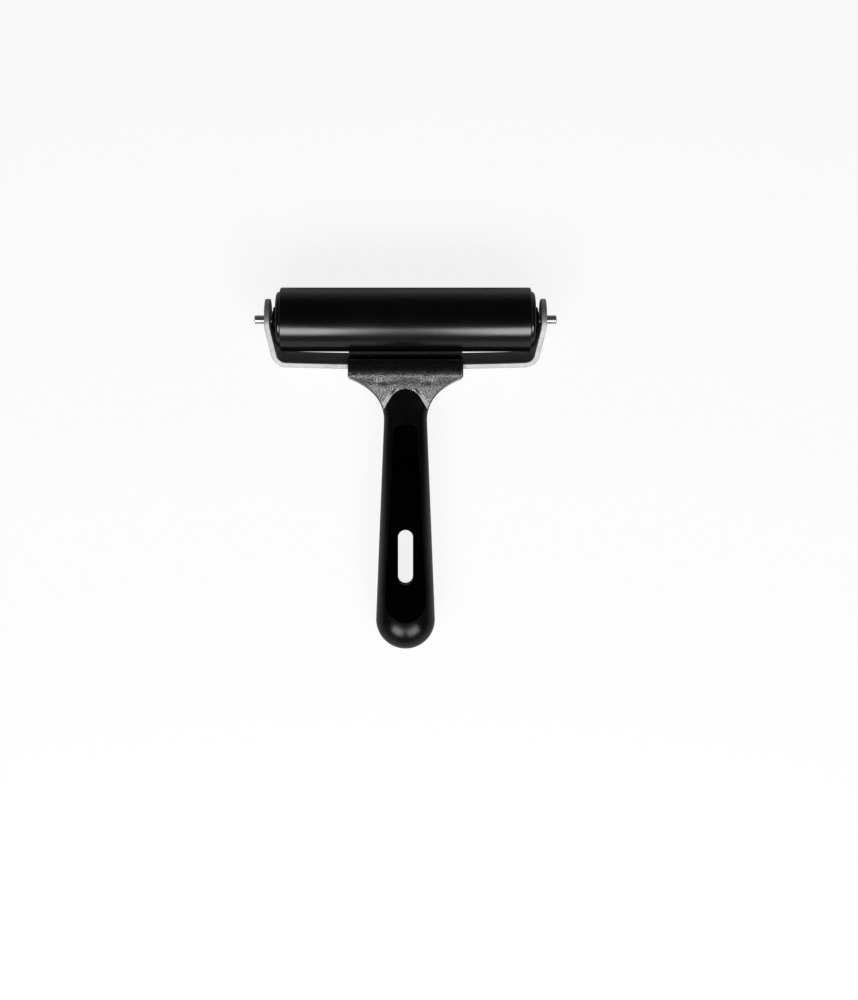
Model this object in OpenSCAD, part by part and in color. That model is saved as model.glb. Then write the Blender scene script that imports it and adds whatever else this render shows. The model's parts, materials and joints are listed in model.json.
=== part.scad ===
// Rubber brayer: an ink roller on a fixed axle, held by a bent strap yoke in a moulded handle.
//
// The brayer lies on its back, as it is parked between uses, with the roller held clear of the
// bench. +Z is up, the handle points along -Y and the axle runs along X. The origin is on the
// bench, under the middle of the whole tool. Each module is drawn with the axle's centre at
// [0, 0, 0], and in_place() moves it to the bench frame. "Drop" is a distance below the axle,
// measured along the handle.

/* [Roller] */
// Length of the rubber sleeve
sleeve_len = 100; // [90:1:120]
// Outside diameter of the rubber sleeve
sleeve_d = 25.6; // [25:0.1:26]
// Thickness of the rubber
rubber_t = 3; // [2:0.1:4]
// Rounding of the rubber's end corners
rubber_round = 0.6; // [0.3:0.1:1]
// Wall of the tube under the rubber
tube_wall = 1.6; // [1:0.1:1.8]

/* [End caps and bushes] */
// Outside diameter of the cap's flange
cap_d = 22.4; // [21:0.1:23]
// How far the flange stands out of the sleeve
cap_flange_t = 1.7; // [1.6:0.05:1.8]
// Rounding of the flange's shoulder
cap_round = 1.5; // [1:0.1:1.5]
// Length of the plug inside the tube
cap_plug_len = 13; // [12:1:16]
// Outside diameter of the bearing bush
bush_d = 8; // [7:0.1:9]
// Diameter of the bush's collar
bush_collar_d = 10.4; // [10:0.1:11]
// Thickness of the bush's collar
bush_collar_t = 0.8; // [0.6:0.1:1]

/* [Axle] */
// Diameter of the axle between the pads
axle_d = 5; // [4.6:0.1:5.4]
// Diameter of the journals inside the pads
journal_d = 4; // [3.8:0.1:4.4]
// Diameter of the free ends
axle_end_d = 3.4; // [3:0.1:3.6]
// How far each free end stands out of its pad
axle_end_len = 4.4; // [3:0.1:6]
// Chamfer on the free ends
axle_chamfer = 0.35; // [0.2:0.05:0.6]
// Gap between each thrust washer and its pad
pad_gap = 1.1; // [1.05:0.05:1.3]
// Gap between each of the axle's shoulders and its pad
shoulder_gap = 0.45; // [0.42:0.02:0.6]
// Thickness of each thrust washer
washer_t = 0.9; // [0.8:0.05:0.95]
// Diameter of each thrust washer
washer_d = 10; // [9:0.1:10.2]

/* [Yoke] */
// Width of the strap, which is also the diameter of its round pads
strap_w = 16.6; // [15:0.1:18]
// Thickness of the strap
strap_t = 2.1; // [1.8:0.1:2.4]
// Angle by which the yoke leans back from the handle's plane
yoke_lean = 20; // [15:1:22]
// Angle by which each arm slopes in
arm_slope = 12; // [11:0.1:12.4]
// Distance below the axle at which the arms start to slope
pad_drop = 0.6; // [0.4:0.1:1.5]
// Distance from the axle to the base's inner face
base_drop = 15.45; // [15:0.05:16]
// How far the middle of the base bows away from the roller
base_bow = 0.8; // [0.2:0.1:1]
// Inner radius of the two lower bends
bend_r = 3.9; // [3:0.1:5]
// Diameter of the two anchor holes in the base
anchor_d = 5; // [4:0.1:7]
// Distance between the anchor holes
anchor_gap = 24; // [18:1:30]

/* [Handle] */
// Width of the T-head
head_w = 46.1; // [42:0.1:50]
// Depth of the T-head, from its front to its back
head_depth = 20.5; // [19.5:0.1:22]
// Height of the T-head, along the strap's arms
head_h = 8.1; // [7.5:0.1:9]
// Rounding of the T-head's long edges
head_round = 3; // [2:0.1:3.5]
// Plastic between the strap's inner face and the roller
head_cover = 1.6; // [1.2:0.1:1.8]
// Half-width of the neck, where the handle is narrowest
neck_half_w = 8.7; // [8:0.1:9.5]
// Drop of the neck
neck_drop = 40.3; // [38:0.1:42]
// Widest half-width, which is also the radius of the round end
end_r = 11.9; // [11:0.1:12.5]
// Drop of the handle's tip
tip_drop = 132.6; // [128:0.1:140]
// Half-thickness at the neck
neck_half_t = 6.6; // [6.2:0.1:7]
// Half-thickness at the belly
belly_half_t = 10.4; // [9.8:0.1:10.6]
// Half-thickness where the round end starts
end_half_t = 9.35; // [9:0.05:9.4]
// Height of the handle's middle plane above the axle
handle_z = -6.5; // [-7:0.1:-6]
// Height of the bench above the axle
bench_z = -15.8; // [-15.9:0.1:-15.6]

/* [Grip] */
// Radius of the grip's arched nose
nose_r = 6.8; // [6:0.1:7.2]
// Drop of the nose's highest point
nose_drop = 28; // [27:0.1:29]
// Drop at which the nose reaches the handle's full width
nose_end_drop = 36.6; // [36:0.1:37.5]
// Drop of the middle of the hanging slot
slot_drop = 95.4; // [90:0.1:98]
// Width of the hanging slot
slot_w = 6.1; // [5:0.1:7]
// Length of the hanging slot
slot_len = 22.2; // [16:0.1:24]
// Drop of the inlays' upper edge
inlay_drop = 42.3; // [41:0.1:46]
// Half-width of the inlays' upper edge
inlay_half_w = 4.5; // [4:0.1:5]
// Radius of the inlays' round lower end
inlay_end_r = 8.1; // [7.5:0.1:8.4]
// Depth of the inlays' faces under the grip's crown
inlay_depth = 1.3; // [1.2:0.1:1.5]
// Thickness of the inlays
inlay_t = 0.9; // [0.6:0.1:1.2]

/* [Hidden] */

// Sides of the tool, and directions of the two inlays.
left = -1;
right = 1;
front = 1;
back = -1;

// Radial clearance of the shaft in its bushes, washers and pads.
fit_gap = 0.05;
// Gap between each bush's collar and its thrust washer.
end_play = 0.3;
// Smoothness of round surfaces, and of small roundings.
round_fn = 96;
small_fn = 32;
// A length longer than any part of the tool.
far = 200;

// Roller.
sleeve_r = sleeve_d / 2;
tube_r = sleeve_r - rubber_t;
tube_bore_r = tube_r - tube_wall;
sleeve_end = sleeve_len / 2;
cap_face = sleeve_end + cap_flange_t;
plug_start = sleeve_end - cap_plug_len;
cap_hub_r = bush_d / 2 + 1.3;
cap_skirt_r = tube_bore_r - 1.3;
cap_web_t = 2.5;

// Axle and yoke.
axle_r = axle_d / 2;
journal_r = journal_d / 2;
washer_in = cap_face + end_play;
pad_in = washer_in + washer_t + pad_gap;
shoulder = pad_in - shoulder_gap;
pad_out = pad_in + strap_t;
axle_tip = pad_out + axle_end_len;
journal_end = pad_out + 0.1;
pad_r = strap_w / 2;
bend_x = pad_in + ((pad_drop - base_drop + bend_r) * sin(arm_slope) - bend_r) / cos(arm_slope);
bend_y = bend_r - base_drop;

// The fan under the T-head. Its edge is a curve from the top, towards the bend, to the end. Each
// point is a half-width and a drop.
fan_top = [22.6, 23.2];
fan_bend = [neck_half_w, 28.8];
fan_end = [neck_half_w, neck_drop];
fan_start = 18;
fan_half_t = 10.3;

// Handle.
end_drop = tip_drop - end_r;
belly_drop = 90;
nose_half_t = 7.4;

// The core's tang inside the grip.
tang_half_w = 5;
tang_half_t = 3;
tang_start = 22;
tang_end = 78;

// Number of points in each of the loft's rings, and of rings in the round end.
ring_points = 36;
dome_steps = 9;

// From the axle's frame to the bench frame.
bench_shift = [0, (tip_drop - sleeve_r) / 2, -bench_z];

module in_place() translate(bench_shift) children();

// Turns a profile about the axle. Its x is the radius and its y the distance from the middle.
module about_axle(side = right) rotate([0, side * 90, 0]) rotate_extrude($fn = round_fn) children();

// A ring's profile, with round outer corners.
module ring_profile(r_in, r_out, from, to, round) {
    translate([r_in, from]) square([r_out - r_in - round, to - from]);
    translate([r_in, from + round]) square([r_out - r_in, to - from - 2 * round]);
    for (y = [from + round, to - round])
        translate([r_out - round, y]) circle(round, $fn = small_fn);
}

// A ring's profile, with square corners.
module square_ring(r_in, r_out, from, to) translate([r_in, from]) square([r_out - r_in, to - from]);

// The yoke's frame: its own -y runs down the arms and its own z across the strap.
module yoke_frame() rotate([yoke_lean, 0, 0]) children();

// --- Roller ---

module rubber_sleeve()
    color("#161616")
    about_axle()
    ring_profile(tube_r, sleeve_r, -sleeve_end, sleeve_end, rubber_round);

module core_tube()
    color("#9a9da0")
    about_axle()
    square_ring(tube_bore_r, tube_r, -sleeve_end, sleeve_end);

module end_cap(side)
    color("#0d0d0d")
    about_axle(side)
    difference() {
        union() {
            square_ring(bush_d / 2, tube_bore_r, plug_start, sleeve_end);
            square_ring(bush_d / 2, cap_d / 2 - cap_round, sleeve_end, cap_face);
            square_ring(bush_d / 2, cap_d / 2, sleeve_end, cap_face - cap_round);
            translate([cap_d / 2 - cap_round, cap_face - cap_round])
                intersection() {
                    circle(cap_round, $fn = small_fn);
                    square(cap_round);
                }
        }
        // Hollow between the hub and the skirt, open towards the middle of the roller.
        square_ring(cap_hub_r, cap_skirt_r, plug_start - 1, sleeve_end - cap_web_t);
        // Seat for the bush's collar.
        square_ring(0, bush_collar_d / 2, cap_face - bush_collar_t, cap_face + 1);
    }

module bearing_bush(side)
    color("#d8d4c6")
    about_axle(side) {
        square_ring(axle_r + fit_gap, bush_d / 2, plug_start, cap_face);
        square_ring(axle_r + fit_gap, bush_collar_d / 2, cap_face - bush_collar_t, cap_face);
    }

// --- Axle and yoke ---

module axle_half(side)
    about_axle(side)
    polygon([
        [0, 0],
        [axle_r, 0],
        [axle_r, shoulder],
        [journal_r, shoulder],
        [journal_r, journal_end],
        [axle_end_d / 2, journal_end],
        [axle_end_d / 2, axle_tip - axle_chamfer],
        [axle_end_d / 2 - axle_chamfer, axle_tip],
        [0, axle_tip]
    ]);

module axle()
    color("#c9ccce") {
        axle_half(left);
        axle_half(right);
    }

module thrust_washer(side)
    color("#141414")
    about_axle(side)
    square_ring(axle_r + fit_gap, washer_d / 2, washer_in, washer_in + washer_t);

// One face of the strap's right half, from the pad's end to the middle of the base. The inner
// face has skin 0 and the outer face has skin strap_t.
function strap_face(skin) = concat(
    [[pad_in + skin, pad_r], [pad_in + skin, -pad_drop - skin * tan(arm_slope / 2)]],
    [
        for (k = [0 : 8])
            let (turn = -arm_slope - (90 - arm_slope) * k / 8)
            [bend_x, bend_y] + (bend_r + skin) * [cos(turn), sin(turn)]
    ],
    [
        for (k = [1 : 8])
            let (share = 1 - k / 8)
            [bend_x * share, -base_drop - skin - base_bow * (1 - share * share)]
    ]
);

function reversed(points) = [for (k = [len(points) - 1 : -1 : 0]) points[k]];

// One whole face of the strap, from the right pad to the left one.
function whole_face(skin) =
    let (half = strap_face(skin))
    concat(half, [for (k = [len(half) - 2 : -1 : 0]) [-half[k].x, half[k].y]]);

// The strap's edge-on outline.
module strap_outline() polygon(concat(whole_face(strap_t), reversed(whole_face(0))));

module yoke_strap()
    intersection() {
        linear_extrude(strap_w, center = true) strap_outline();
        union() {
            rotate([0, 90, 0]) cylinder(h = far, r = pad_r, center = true, $fn = round_fn);
            translate([-far / 2, -far, -far / 2]) cube([far, far, far]);
        }
    }

module yoke()
    color("#c3c6c8")
    yoke_frame()
    difference() {
        yoke_strap();
        rotate([0, 90, 0])
            cylinder(h = far, r = journal_r + fit_gap, center = true, $fn = round_fn);
        for (x = [-anchor_gap / 2, anchor_gap / 2])
            translate([x, -base_drop, 0])
                rotate([90, 0, 0])
                cylinder(h = 4 * strap_t, d = anchor_d, center = true, $fn = round_fn);
    }

// --- Handle ---

function ease(share) = 0.5 - 0.5 * cos(180 * max(0, min(1, share)));

function round_share(share) = sqrt(max(0, 1 - share * share));

// Half-width of the fan, a quadratic curve from the T-head's corner to the neck.
function fan_half_w(drop) =
    let (
        a = fan_top.y - 2 * fan_bend.y + fan_end.y,
        b = 2 * (fan_bend.y - fan_top.y),
        t = (-b + sqrt(b * b - 4 * a * (fan_top.y - drop))) / (2 * a)
    )
    fan_end.x + (fan_top.x - fan_end.x) * (1 - t) * (1 - t);

// How much of the full section is left in the handle's round end.
function end_share(drop) = drop < end_drop ? 1 : round_share((drop - end_drop) / end_r);

function half_w(drop) =
    drop < fan_top.y ? fan_top.x :
    drop < neck_drop ? fan_half_w(drop) :
    neck_half_w + (end_r - neck_half_w) * min(1, (drop - neck_drop) / (end_drop - neck_drop));

function body_half_t(drop) =
    drop < belly_drop
    ? neck_half_t + (belly_half_t - neck_half_t) * ease((drop - neck_drop) / (belly_drop - neck_drop))
    : belly_half_t - (belly_half_t - end_half_t) * ease((drop - belly_drop) / (end_drop - belly_drop));

function grip_half_t(drop) =
    drop < neck_drop
    ? nose_half_t + (neck_half_t - nose_half_t) * round_share((neck_drop - drop) / (neck_drop - nose_drop))
    : body_half_t(drop);

function fan_depth(drop) =
    fan_half_t - (fan_half_t - neck_half_t) * ease((drop - fan_start) / (nose_end_drop - fan_start));

function signed_power(x, p) = sign(x) * pow(abs(x), p);

// A superellipse across the handle. Squareness 2 is an ellipse, and more is boxier.
function ring(drop, a, b, squareness) = [
    for (k = [0 : ring_points - 1])
        let (turn = 360 * k / ring_points)
        [
            a * signed_power(cos(turn), 2 / squareness),
            -drop,
            handle_z + b * signed_power(sin(turn), 2 / squareness)
        ]
];

function fan_ring(drop) =
    ring(drop, half_w(drop), fan_depth(drop), 5 - 2.3 * ease((drop - fan_start) / (neck_drop - fan_start)));

function grip_ring(drop) =
    ring(drop, half_w(drop) * end_share(drop), grip_half_t(drop) * end_share(drop), 2.7);

// A closed solid through rings of ring_points points, in order along the handle.
module loft(rings) {
    last = len(rings) - 1;
    n = ring_points;
    polyhedron(
        points = [for (r = rings) each r],
        faces = concat(
            [[for (k = [0 : n - 1]) k]],
            [[for (k = [n - 1 : -1 : 0]) last * n + k]],
            [
                for (r = [0 : last - 1], k = [0 : n - 1])
                    [r * n + k, (r + 1) * n + k, r * n + (k + 1) % n]
            ],
            [
                for (r = [0 : last - 1], k = [0 : n - 1])
                    [r * n + (k + 1) % n, (r + 1) * n + k, (r + 1) * n + (k + 1) % n]
            ]
        )
    );
}

module grip_loft() {
    nose = [for (k = [0 : 6]) nose_drop - 0.5 + (neck_drop - nose_drop + 0.5) * k / 6];
    body = [for (k = [1 : 11]) neck_drop + (end_drop - neck_drop) * k / 11];
    dome = [for (k = [1 : dome_steps]) end_drop + end_r * sin(88 * k / dome_steps)];
    loft([for (drop = concat(nose, body, dome)) grip_ring(drop)]);
}

module fan_loft()
    loft([for (k = [0 : 12]) fan_ring(fan_start + (neck_drop - 1 - fan_start) * k / 12)]);

// The grip's front outline, as a mask: the arched nose, and everything below it.
module nose_mask() {
    waist = half_w(nose_end_drop) + 0.01;
    linear_extrude(far, center = true) {
        hull() {
            translate([0, -nose_drop - nose_r]) circle(nose_r, $fn = small_fn * 2);
            translate([-waist, -nose_end_drop - 0.01]) square([2 * waist, 0.01]);
        }
        translate([-far / 2, -nose_end_drop - far]) square([far, far]);
    }
}

module tang()
    translate([-tang_half_w, -tang_end, handle_z - tang_half_t])
    cube([2 * tang_half_w, tang_end - tang_start, 2 * tang_half_t]);

module slot_cut()
    linear_extrude(far, center = true) {
        for (side = [-1, 1])
            translate([0, -slot_drop + side * (slot_len - slot_w) / 2]) circle(slot_w / 2, $fn = round_fn);
        translate([-slot_w / 2, -slot_drop - (slot_len - slot_w) / 2]) square([slot_w, slot_len - slot_w]);
    }

// A slab that follows the handle's side profile, between two depths under its crown.
module profile_slab(side, depth_out, depth_in) {
    drops = [for (k = [0 : 12]) inlay_drop - 2 + (end_drop + 4 - inlay_drop) * k / 12];
    outer = [for (d = drops) [-d, handle_z + side * (body_half_t(d) - depth_out)]];
    inner = [for (d = drops) [-d, handle_z + side * (body_half_t(d) - depth_in)]];
    rotate([90, 0, 90])
        linear_extrude(far, center = true)
        polygon(concat(outer, reversed(inner)));
}

module inlay_mask() {
    corner_r = 1.4;
    linear_extrude(far, center = true)
        hull() {
            for (x = [-1, 1])
                translate([x * (inlay_half_w - corner_r), -inlay_drop - corner_r])
                    circle(corner_r, $fn = small_fn);
            translate([0, -end_drop + inlay_end_r - 0.6]) circle(inlay_end_r, $fn = small_fn * 2);
        }
}

module inlay_recess(side)
    intersection() {
        inlay_mask();
        profile_slab(side, -2, inlay_depth + inlay_t);
    }

module inlay(side)
    color("#050505")
    difference() {
        intersection() {
            inlay_mask();
            profile_slab(side, inlay_depth, inlay_depth + inlay_t);
        }
        slot_cut();
    }

module below_bench()
    translate([-far / 2, -far, bench_z - far])
    cube([far, 2 * far, far]);

module head_bar() {
    top = head_cover - base_drop;
    reach_y = head_h - 2 * head_round;
    reach_z = head_depth - 2 * head_round;
    yoke_frame()
        rotate([90, 0, 90])
        linear_extrude(head_w, center = true)
        hull()
        for (y = [0, 1], z = [-0.5, 0.5])
            translate([top - head_round - y * reach_y, z * reach_z])
                circle(head_round, $fn = small_fn);
}

module handle_core()
    color("#1b1b1b")
    difference() {
        union() {
            head_bar();
            difference() {
                fan_loft();
                nose_mask();
            }
            tang();
        }
        yoke();
        below_bench();
    }

module grip()
    color("#101010")
    difference() {
        intersection() {
            grip_loft();
            nose_mask();
        }
        tang();
        slot_cut();
        inlay_recess(front);
        inlay_recess(back);
        below_bench();
    }

in_place() rubber_sleeve();
in_place() core_tube();
in_place() end_cap(left);  // end_cap_left
in_place() end_cap(right);  // end_cap_right
in_place() bearing_bush(left);  // bearing_bush_left
in_place() bearing_bush(right);  // bearing_bush_right
in_place() axle();
in_place() thrust_washer(left);  // thrust_washer_left
in_place() thrust_washer(right);  // thrust_washer_right
in_place() yoke();
in_place() handle_core();
in_place() grip();
in_place() inlay(front);  // front_inlay
in_place() inlay(back);  // back_inlay
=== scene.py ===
# A rubber brayer lying on its back on a pale floor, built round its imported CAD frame.
#
# Lengths are in millimetres until a mesh is made, which is in metres. Shapes are drawn in the
# axle's frame: its centre is the origin, X runs along the axle, the handle points along -Y and
# +Z faces the camera. "Drop" is a distance from the axle, measured along the handle.
import json
import math

import bmesh
import bpy
import numpy as np
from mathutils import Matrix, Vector, noise


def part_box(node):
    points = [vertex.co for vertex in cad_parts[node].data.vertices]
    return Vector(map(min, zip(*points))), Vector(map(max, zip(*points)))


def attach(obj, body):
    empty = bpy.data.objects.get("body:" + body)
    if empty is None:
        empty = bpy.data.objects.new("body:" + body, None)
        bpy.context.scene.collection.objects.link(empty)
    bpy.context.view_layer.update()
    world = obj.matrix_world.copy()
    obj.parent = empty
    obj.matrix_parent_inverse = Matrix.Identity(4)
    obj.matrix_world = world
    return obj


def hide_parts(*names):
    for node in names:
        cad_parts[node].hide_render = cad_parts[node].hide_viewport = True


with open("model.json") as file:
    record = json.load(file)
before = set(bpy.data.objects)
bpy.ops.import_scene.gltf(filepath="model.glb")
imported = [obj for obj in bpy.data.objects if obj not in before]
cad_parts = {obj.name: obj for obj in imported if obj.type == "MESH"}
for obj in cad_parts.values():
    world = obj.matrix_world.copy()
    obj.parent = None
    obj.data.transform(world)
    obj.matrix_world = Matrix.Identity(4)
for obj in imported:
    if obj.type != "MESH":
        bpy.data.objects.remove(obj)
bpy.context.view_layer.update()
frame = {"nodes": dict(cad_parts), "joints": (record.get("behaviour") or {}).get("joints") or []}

MM = 0.001

# Points closer than this become one point, and edges shorter than half of it are dissolved.
WELD = 0.002


def box_mm(node):
    """A CAD node's lowest and highest corners at rest."""
    low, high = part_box(node)
    return np.array(low) / MM, np.array(high) / MM


# --- Sizes: read from the CAD where its boxes give them, and otherwise the CAD's own values ---

AXLE = np.array(frame["joints"][0]["pos_m"]) / MM
BENCH = -AXLE[2]

# Roller.
SLEEVE_R = (box_mm("rubber_sleeve")[1] - AXLE)[2]
SLEEVE_END = box_mm("rubber_sleeve")[1][0]
TUBE_R = (box_mm("core_tube")[1] - AXLE)[2]
TUBE_WALL = 1.6
CAP_R = (box_mm("end_cap_right")[1] - AXLE)[2]
CAP_FACE = box_mm("end_cap_right")[1][0]
CAP_START = box_mm("end_cap_right")[0][0]
CAP_ROUND = 1.5
CAP_WALL = 1.3
CAP_WEB = 2.5
COLLAR_R = (box_mm("bearing_bush_right")[1] - AXLE)[2]
COLLAR_T = 0.8
BUSH_R = 4.0
WASHER_R = (box_mm("thrust_washer_right")[1] - AXLE)[2]
WASHER_IN = box_mm("thrust_washer_right")[0][0]
WASHER_OUT = box_mm("thrust_washer_right")[1][0]
# A raised ring round the washer's bore, which only this model has.
BOSS_R = 3.6
BOSS_T = 0.3

# Axle and yoke.
AXLE_R = (box_mm("axle")[1] - AXLE)[2]
AXLE_TIP = box_mm("axle")[1][0]
JOURNAL_R = 2.0
FREE_END_R = 1.7
CHAMFER = 0.35
# Radial clearance of the axle in its bushes, washers and pads.
FIT = 0.05
PAD_OUT = box_mm("yoke")[1][0]
STRAP_T = 2.1
PAD_IN = PAD_OUT - STRAP_T
SHOULDER_GAP = 0.45
SHOULDER = PAD_IN - SHOULDER_GAP
PAD_R = 8.3
# How far the yoke leans back, and how far its arms slope in from the pads down.
LEAN = math.radians(20)
ARM_SLOPE = math.radians(12)
PAD_DROP = 0.6
BASE_DROP = 15.45
BASE_BOW = 0.8
BEND_R = 3.9

# Handle. The head's top and half-thickness are measured in the yoke's leaned frame.
HANDLE_Z = -6.5
HEAD_HALF_W = box_mm("handle_core")[1][0]
HEAD_HALF_T = 10.25
HEAD_TOP = 13.85
HEAD_EDGE_R = 3.0
# The fan's edge leaves the head at FAN_TOP, aims at FAN_BEND and ends at the neck.
NECK_HALF_W = 8.7
NECK_DROP = 40.3
FAN_TOP = np.array([22.6, 23.2])
FAN_BEND = np.array([NECK_HALF_W, 28.8])
FAN_START = 18.0
FAN_HALF_T = 10.3
# Where this model's head stops, out of sight inside the grip.
CORE_END = 42.0
END_R = box_mm("grip")[1][0]
TIP_DROP = (AXLE - box_mm("grip")[0])[1]
END_DROP = TIP_DROP - END_R
BELLY_DROP = 90.0
NOSE_R = 6.8
NOSE_DROP = 28.0
NOSE_END_DROP = 36.6
NOSE_HALF_T = 7.4
NECK_HALF_T = 6.6
BELLY_HALF_T = 10.4
END_HALF_T = 9.35
SLOT_DROP = 95.4
SLOT_R = 3.05
SLOT_HALF_LEN = 11.1
INLAY_DROP = 42.3
INLAY_END_DROP = END_DROP + 0.6
INLAY_HALF_W = 4.5
INLAY_CORNER_R = 1.4
INLAY_END_R = 8.1
INLAY_DEPTH = 1.3
INLAY_T = 0.9


# --- Curves and distances ---

def ease(share):
    """A smooth step from 0 to 1."""
    return 0.5 - 0.5 * np.cos(np.pi * np.clip(share, 0.0, 1.0))


def lerp(a, b, share):
    """The value between a and b, at a share of the way."""
    return a + (b - a) * share


def round_share(share):
    """The height of a unit circle at a distance from its middle."""
    return np.sqrt(np.maximum(0.0, 1.0 - np.square(share)))


def soft_max(a, b, blend):
    """The larger of two values, with the corner between them rounded over a blend length."""
    overlap = np.maximum(blend - np.abs(a - b), 0.0) / blend
    return np.maximum(a, b) + overlap * overlap * blend / 4


def soft_min(a, b, blend):
    """The smaller of two values, rounded in the same way."""
    return -soft_max(-a, -b, blend)


def rounded(corners):
    """A closed outline from (x, y, radius) corners, each one turned into an arc."""
    steps = 6
    corners = np.array(corners, float)
    points = []
    for before, corner, after in zip(np.roll(corners, 1, 0), corners, np.roll(corners, -1, 0)):
        here = corner[:2]
        radius = corner[2]
        if radius == 0:
            points.append(here)
            continue
        to_before = (before[:2] - here) / np.linalg.norm(before[:2] - here)
        to_after = (after[:2] - here) / np.linalg.norm(after[:2] - here)
        half = math.acos(np.clip(to_before @ to_after, -1, 1)) / 2
        middle = (to_before + to_after) / np.linalg.norm(to_before + to_after)
        centre = here + middle * radius / math.sin(half)
        start = here + to_before * radius / math.tan(half) - centre
        end = here + to_after * radius / math.tan(half) - centre
        turn = math.pi - 2 * half
        for share in np.linspace(0, 1, steps):
            weights = (math.sin((1 - share) * turn), math.sin(share * turn))
            points.append(centre + (weights[0] * start + weights[1] * end) / math.sin(turn))
    return np.array(points)


# --- Meshes ---

def grid_faces(rows, columns, wrap_rows=False, wrap_columns=False, first=0):
    """Quads over a grid of points that are numbered row by row."""
    faces = []
    for r in range(rows if wrap_rows else rows - 1):
        row = first + r * columns
        next_row = first + (r + 1) % rows * columns
        for c in range(columns if wrap_columns else columns - 1):
            next_c = (c + 1) % columns
            faces.append((row + c, row + next_c, next_row + next_c, next_row + c))
    return faces


def ladder_cap(count, first=0):
    """Closes a ring that is mirror-symmetric about its points 0 and count / 2, rung by rung."""
    half = count // 2
    faces = [(first, first + 1, first + count - 1)]
    for near in range(1, half - 1):
        far = count - near
        faces.append((first + near, first + near + 1, first + far - 1, first + far))
    faces.append((first + half - 1, first + half, first + half + 1))
    return faces


def thickened(inner, outer, faces):
    """A closed solid between two sheets of points that share the same faces."""
    count = len(inner)
    uses = {}
    for face in faces:
        for edge in zip(face, face[1:] + face[:1]):
            uses.setdefault(tuple(sorted(edge)), []).append(edge)
    rim = [(a, b, b + count, a + count) for (a, b), *others in uses.values() if not others]
    far_side = [tuple(i + count for i in reversed(face)) for face in faces]
    return np.concatenate([inner, outer]), faces + far_side + rim


def new_piece(name, points, faces, material, body, nodes, slot, crease=35):
    """Makes one object from points in the axle's frame, hangs it on a body and hides the CAD nodes it
    stands for.

    Edges that turn by more than crease degrees stay sharp.
    """
    mesh = bpy.data.meshes.new(name)
    mesh.from_pydata(((np.asarray(points) + AXLE) * MM).tolist(), [], faces)
    tidy = bmesh.new()
    tidy.from_mesh(mesh)
    bmesh.ops.remove_doubles(tidy, verts=tidy.verts, dist=WELD * MM)
    bmesh.ops.dissolve_degenerate(tidy, edges=tidy.edges, dist=WELD / 2 * MM)
    bmesh.ops.recalc_face_normals(tidy, faces=tidy.faces)
    tidy.to_mesh(mesh)
    tidy.free()
    piece = bpy.data.objects.new(name, mesh)
    bpy.context.scene.collection.objects.link(piece)
    smooth(mesh, crease)
    mesh.materials.append(material)
    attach(piece, body)
    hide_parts(*nodes)
    return piece


def smooth(mesh, crease):
    """Shades a mesh smooth, apart from edges that turn by more than crease degrees."""
    mesh.polygons.foreach_set("use_smooth", [True] * len(mesh.polygons))
    mesh.set_sharp_from_angle(angle=math.radians(crease))


def turned(profile, segments, closed=True):
    """Turns an outline of (x, radius) points about the axle. An open one ends on the axle's middle."""
    turn = np.linspace(0, 2 * math.pi, segments, endpoint=False)
    x = np.repeat(profile[:, 0], segments)
    y = np.outer(profile[:, 1], np.cos(turn)).ravel()
    z = np.outer(profile[:, 1], np.sin(turn)).ravel()
    return np.stack([x, y, z], 1), grid_faces(len(profile), segments, closed, True)


def mirrored(profile):
    """The same outline on the other end of the axle."""
    return profile[::-1] * (-1, 1)


def bevelled(piece, width, angle):
    """Rounds the edges of a piece that turn by more than angle degrees."""
    bevel = piece.modifiers.new("edges", "BEVEL")
    bevel.width = width * MM
    bevel.segments = 3
    bevel.limit_method = "ANGLE"
    bevel.angle_limit = math.radians(angle)
    bevel.harden_normals = True


# --- Materials ---

# Most values of a noise pattern lie between these.
NOISE_LOW = 0.35
NOISE_HIGH = 0.65


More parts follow.
